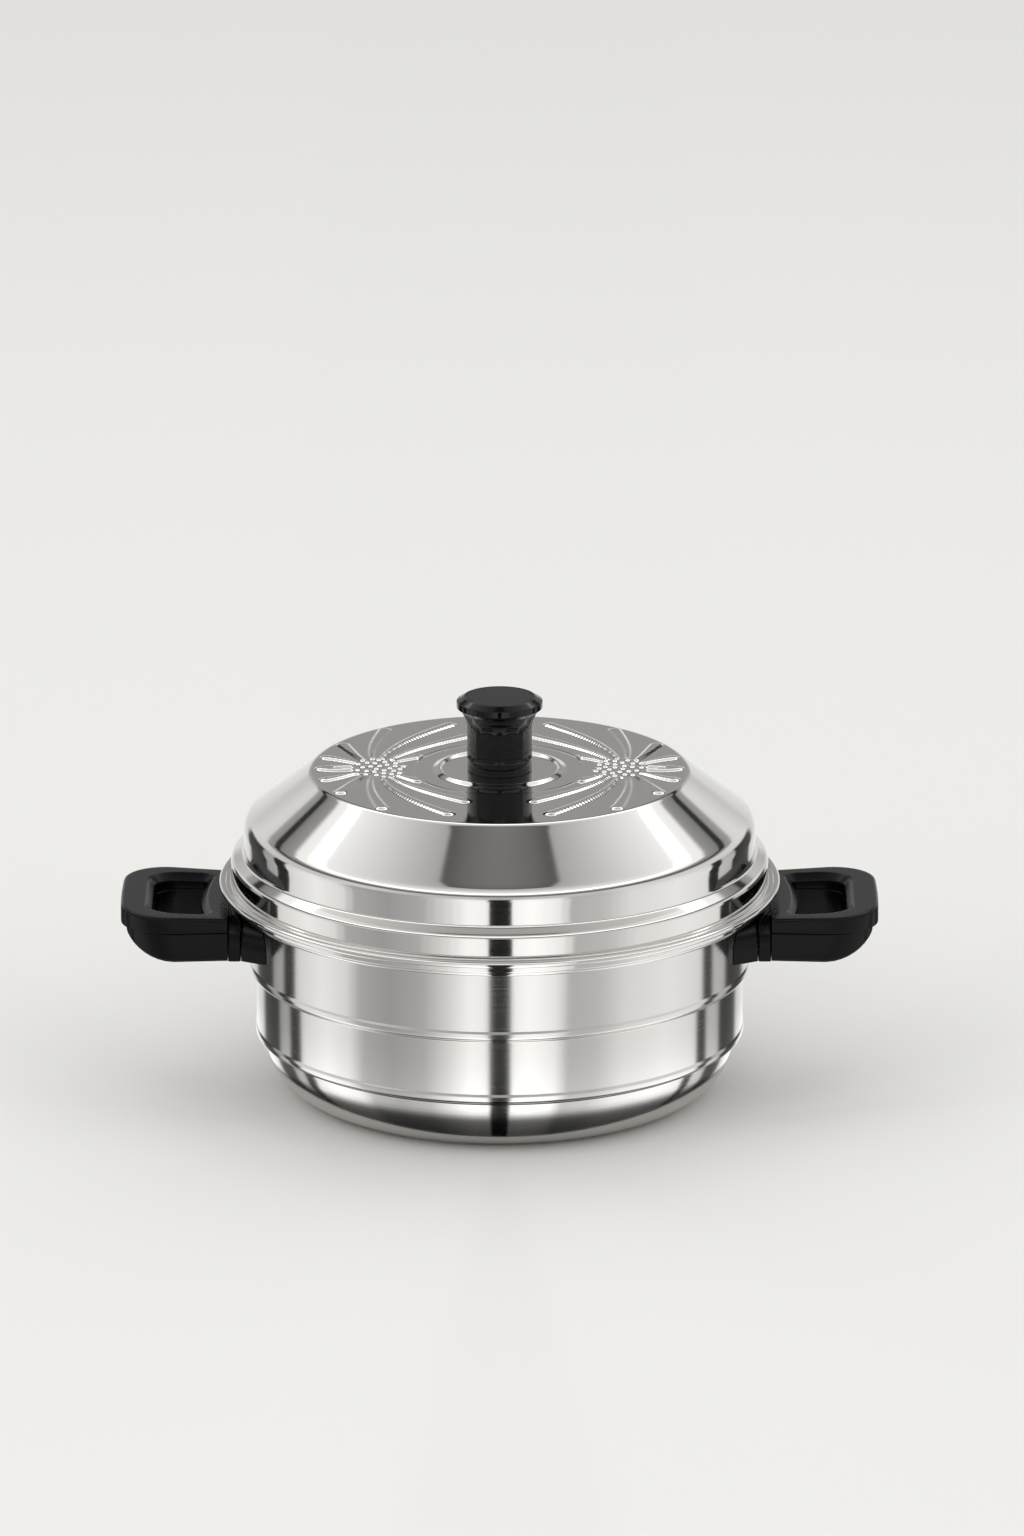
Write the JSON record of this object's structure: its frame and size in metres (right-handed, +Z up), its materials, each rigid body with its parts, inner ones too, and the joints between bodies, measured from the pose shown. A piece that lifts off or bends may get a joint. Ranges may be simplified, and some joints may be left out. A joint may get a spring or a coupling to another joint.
{
  "type": "idli steamer",
  "caption": "Stepped round steel pot with side handles and a domed lid, holding stacked steaming trays and plates with round cavities.",
  "frame": {"origin": "centre of the pot's base on its underside", "axes": "+Z up along the pot's axis, +X through the right side handle, -Y towards the viewer"},
  "size_m": [0.361, 0.2676, 0.1936],
  "materials": {
    "brushed_steel": "stainless steel with a fine brush round the pot",
    "polished_steel": "mirror polished stainless steel",
    "satin_steel": "satin grey stainless steel",
    "satin_phenolic": "satin black phenolic moulding",
    "gloss_phenolic": "polished black phenolic moulding",
    "screw_steel": "plain steel of small screws"
  },
  "bodies": {
    "pot": {"pot_body": "brushed_steel", "handle_bracket_left": "brushed_steel", "handle_bracket_right": "brushed_steel", "flame_guard_left": "satin_phenolic", "flame_guard_right": "satin_phenolic", "handle_collar_left": "satin_phenolic", "handle_collar_right": "satin_phenolic", "grip_lower_left": "satin_phenolic", "grip_lower_right": "satin_phenolic", "grip_cover_left": "satin_phenolic", "grip_cover_right": "satin_phenolic", "handle_bolt_left": "screw_steel", "handle_bolt_right": "screw_steel"},
    "tray_lower": {"tray_lower": "satin_steel", "tray_lower_strap_left": "satin_steel", "tray_lower_strap_right": "satin_steel"},
    "tray_upper": {"tray_upper": "satin_steel", "tray_upper_strap_left": "satin_steel", "tray_upper_strap_right": "satin_steel"},
    "idli_plate_lower": {"idli_plate_lower": "polished_steel", "idli_plate_lower_strap_left": "satin_steel", "idli_plate_lower_strap_right": "satin_steel"},
    "idli_plate_upper": {"idli_plate_upper": "polished_steel", "idli_plate_upper_strap_left": "satin_steel", "idli_plate_upper_strap_right": "satin_steel"},
    "lid": {"lid_shell": "polished_steel", "lid_knob": "gloss_phenolic", "knob_disc": "satin_phenolic", "knob_washer": "screw_steel", "knob_screw": "screw_steel"}
  },
  "joints": [
    {"name": "tray_lower_lift", "type": "slide", "parent": "pot", "child": "tray_lower", "axis": [0, 0, 1], "range_m": [0, 0.105]},
    {"name": "tray_upper_lift", "type": "slide", "parent": "tray_lower", "child": "tray_upper", "axis": [0, 0, 1], "range_m": [0, 0.047]},
    {"name": "idli_plate_lower_lift", "type": "slide", "parent": "tray_upper", "child": "idli_plate_lower", "axis": [0, 0, 1], "range_m": [0, 0.047]},
    {"name": "idli_plate_upper_lift", "type": "slide", "parent": "idli_plate_lower", "child": "idli_plate_upper", "axis": [0, 0, 1], "range_m": [0, 0.047]},
    {"name": "lid_lift", "type": "slide", "parent": "idli_plate_upper", "child": "lid", "axis": [0, 0, 1], "range_m": [0, 0.075]}
  ]
}
